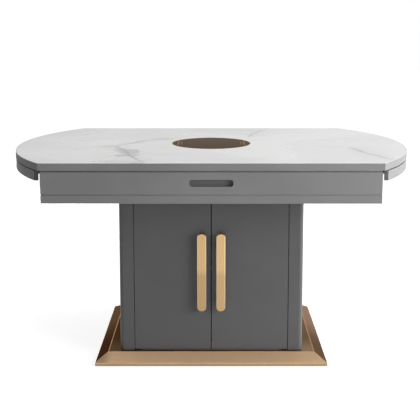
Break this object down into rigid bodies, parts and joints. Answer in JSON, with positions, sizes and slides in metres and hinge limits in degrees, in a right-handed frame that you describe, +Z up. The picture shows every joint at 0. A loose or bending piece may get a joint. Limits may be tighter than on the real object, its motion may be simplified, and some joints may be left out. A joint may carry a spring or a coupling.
{
  "type": "extending dining table",
  "caption": "Oblong dining table with round ends, stone top, inset hob, leaves that slide out at both ends, a shallow drawer and a two-door cabinet base on a metal plinth.",
  "frame": {"origin": "on the floor, under the middle of the top", "axes": "+X along the table towards the right end, front faces -Y, +Z up"},
  "size_m": [1.416, 0.892, 0.75],
  "materials": {
    "marble": "polished white marble with soft grey veins",
    "edge_lacquer": "satin metallic grey edge",
    "grey_lacquer": "satin grey lacquer on board",
    "gold_metal": "brushed champagne gold",
    "hob_glass": "glossy brown-black ceramic glass",
    "sheet_steel": "zinc plated sheet",
    "frame_steel": "black powder coat",
    "inner_board": "matt grey melamine",
    "copper": "enamelled copper wire",
    "circuit_board": "green circuit board",
    "black_plastic": "matt black plastic"
  },
  "bodies": {
    "table": {"top_panel": "edge_lacquer", "stone_top": "marble", "hob_trim_ring": "gold_metal", "hob_glass": "hob_glass", "hob_case": "sheet_steel", "coil_tray": "sheet_steel", "induction_coil": "copper", "hob_board": "circuit_board", "hob_clamps": "sheet_steel", "cord_gland": "black_plastic", "frame_bars": "frame_steel", "frame_ties": "frame_steel", "apron_back": "grey_lacquer", "apron_rail": "grey_lacquer", "apron_end_left": "grey_lacquer", "apron_end_right": "grey_lacquer", "apron_floor": "inner_board", "partitions": "inner_board", "corner_posts": "grey_lacquer", "side_panel_left": "grey_lacquer", "side_panel_right": "grey_lacquer", "back_panel": "grey_lacquer", "cabinet_top": "inner_board", "cabinet_bottom": "inner_board", "shelf": "inner_board", "shelf_pins": "sheet_steel", "door_pivots": "sheet_steel", "door_catches": "black_plastic", "plinth_core": "inner_board", "plinth_deck": "gold_metal", "plinth_front": "gold_metal", "plinth_back": "gold_metal", "plinth_end_left": "gold_metal", "plinth_end_right": "gold_metal", "levelling_feet": "black_plastic", "drawer_slide_outers": "sheet_steel", "leaf_slide_outers": "sheet_steel"},
    "left_door": {"door_left": "grey_lacquer", "handle_left": "gold_metal"},
    "right_door": {"door_right": "grey_lacquer", "handle_right": "gold_metal"},
    "drawer": {"drawer_front": "grey_lacquer", "drawer_box": "inner_board", "drawer_bottom": "inner_board", "drawer_slide_inners": "sheet_steel"},
    "drawer_rails": {"drawer_slide_middles": "sheet_steel"},
    "left_leaf": {"leaf_panel_left": "edge_lacquer", "leaf_stone_left": "marble", "leaf_edge_left": "edge_lacquer", "leaf_slide_inners_left": "sheet_steel"},
    "left_leaf_rails": {"leaf_slide_middles_left": "sheet_steel"},
    "right_leaf": {"leaf_panel_right": "edge_lacquer", "leaf_stone_right": "marble", "leaf_edge_right": "edge_lacquer", "leaf_slide_inners_right": "sheet_steel"},
    "right_leaf_rails": {"leaf_slide_middles_right": "sheet_steel"},
    "fan": {"fan_rotor": "black_plastic"}
  },
  "joints": [
    {"name": "left_door_hinge", "type": "hinge", "parent": "table", "child": "left_door", "pos_m": [-0.2599, -0.219, 0.33], "axis": [0, 0, -1], "range_deg": [0, 100]},
    {"name": "right_door_hinge", "type": "hinge", "parent": "table", "child": "right_door", "pos_m": [0.2599, -0.219, 0.33], "axis": [0, 0, 1], "range_deg": [0, 100]},
    {"name": "drawer_slide", "type": "slide", "parent": "table", "child": "drawer", "axis": [0, -1, 0], "range_m": [0, 0.22]},
    {"name": "drawer_rails_slide", "type": "slide", "parent": "table", "child": "drawer_rails", "axis": [0, -1, 0], "range_m": [0, 0.11]},
    {"name": "left_leaf_slide", "type": "slide", "parent": "table", "child": "left_leaf", "axis": [-1, 0, 0], "range_m": [0, 0.3]},
    {"name": "left_leaf_rails_slide", "type": "slide", "parent": "table", "child": "left_leaf_rails", "axis": [-1, 0, 0], "range_m": [0, 0.15]},
    {"name": "right_leaf_slide", "type": "slide", "parent": "table", "child": "right_leaf", "axis": [1, 0, 0], "range_m": [0, 0.3]},
    {"name": "right_leaf_rails_slide", "type": "slide", "parent": "table", "child": "right_leaf_rails", "axis": [1, 0, 0], "range_m": [0, 0.15]},
    {"name": "fan_spin", "type": "hinge", "parent": "table", "child": "fan", "pos_m": [0, 0.03, 0.69], "axis": [0, 0, 1], "continuous": true}
  ],
  "couplings": [
    {"joint": "drawer_rails_slide", "follows": "drawer_slide", "ratio": 0.5},
    {"joint": "left_leaf_rails_slide", "follows": "left_leaf_slide", "ratio": 0.5},
    {"joint": "right_leaf_rails_slide", "follows": "right_leaf_slide", "ratio": 0.5}
  ]
}
